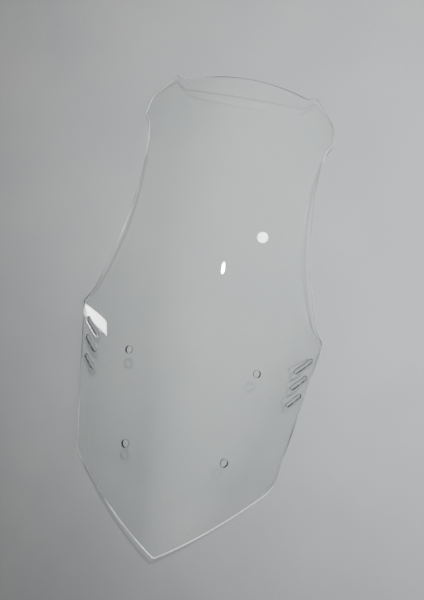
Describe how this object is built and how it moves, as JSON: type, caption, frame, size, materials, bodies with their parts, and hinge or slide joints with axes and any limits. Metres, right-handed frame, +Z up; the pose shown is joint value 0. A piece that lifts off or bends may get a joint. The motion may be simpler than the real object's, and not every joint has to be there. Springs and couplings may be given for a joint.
{
  "type": "motorcycle windshield screen",
  "caption": "Clear one-piece motorcycle windshield screen: arched sheet with narrow neck, eared top, pointed foot, mounting holes and slanted vent slots near the shoulders.",
  "frame": {"origin": "middle of the outline box, on the surface it lies on", "axes": "+Z up from the table to the convex outer face; +Y along the screen from the pointed foot to the eared top edge; +X across"},
  "size_m": [0.3028, 0.5628, 0.0702],
  "materials": {
    "clear_sheet": "clear, water-white, polished"
  },
  "bodies": {
    "root": {"screen": "clear_sheet"}
  },
  "joints": []
}
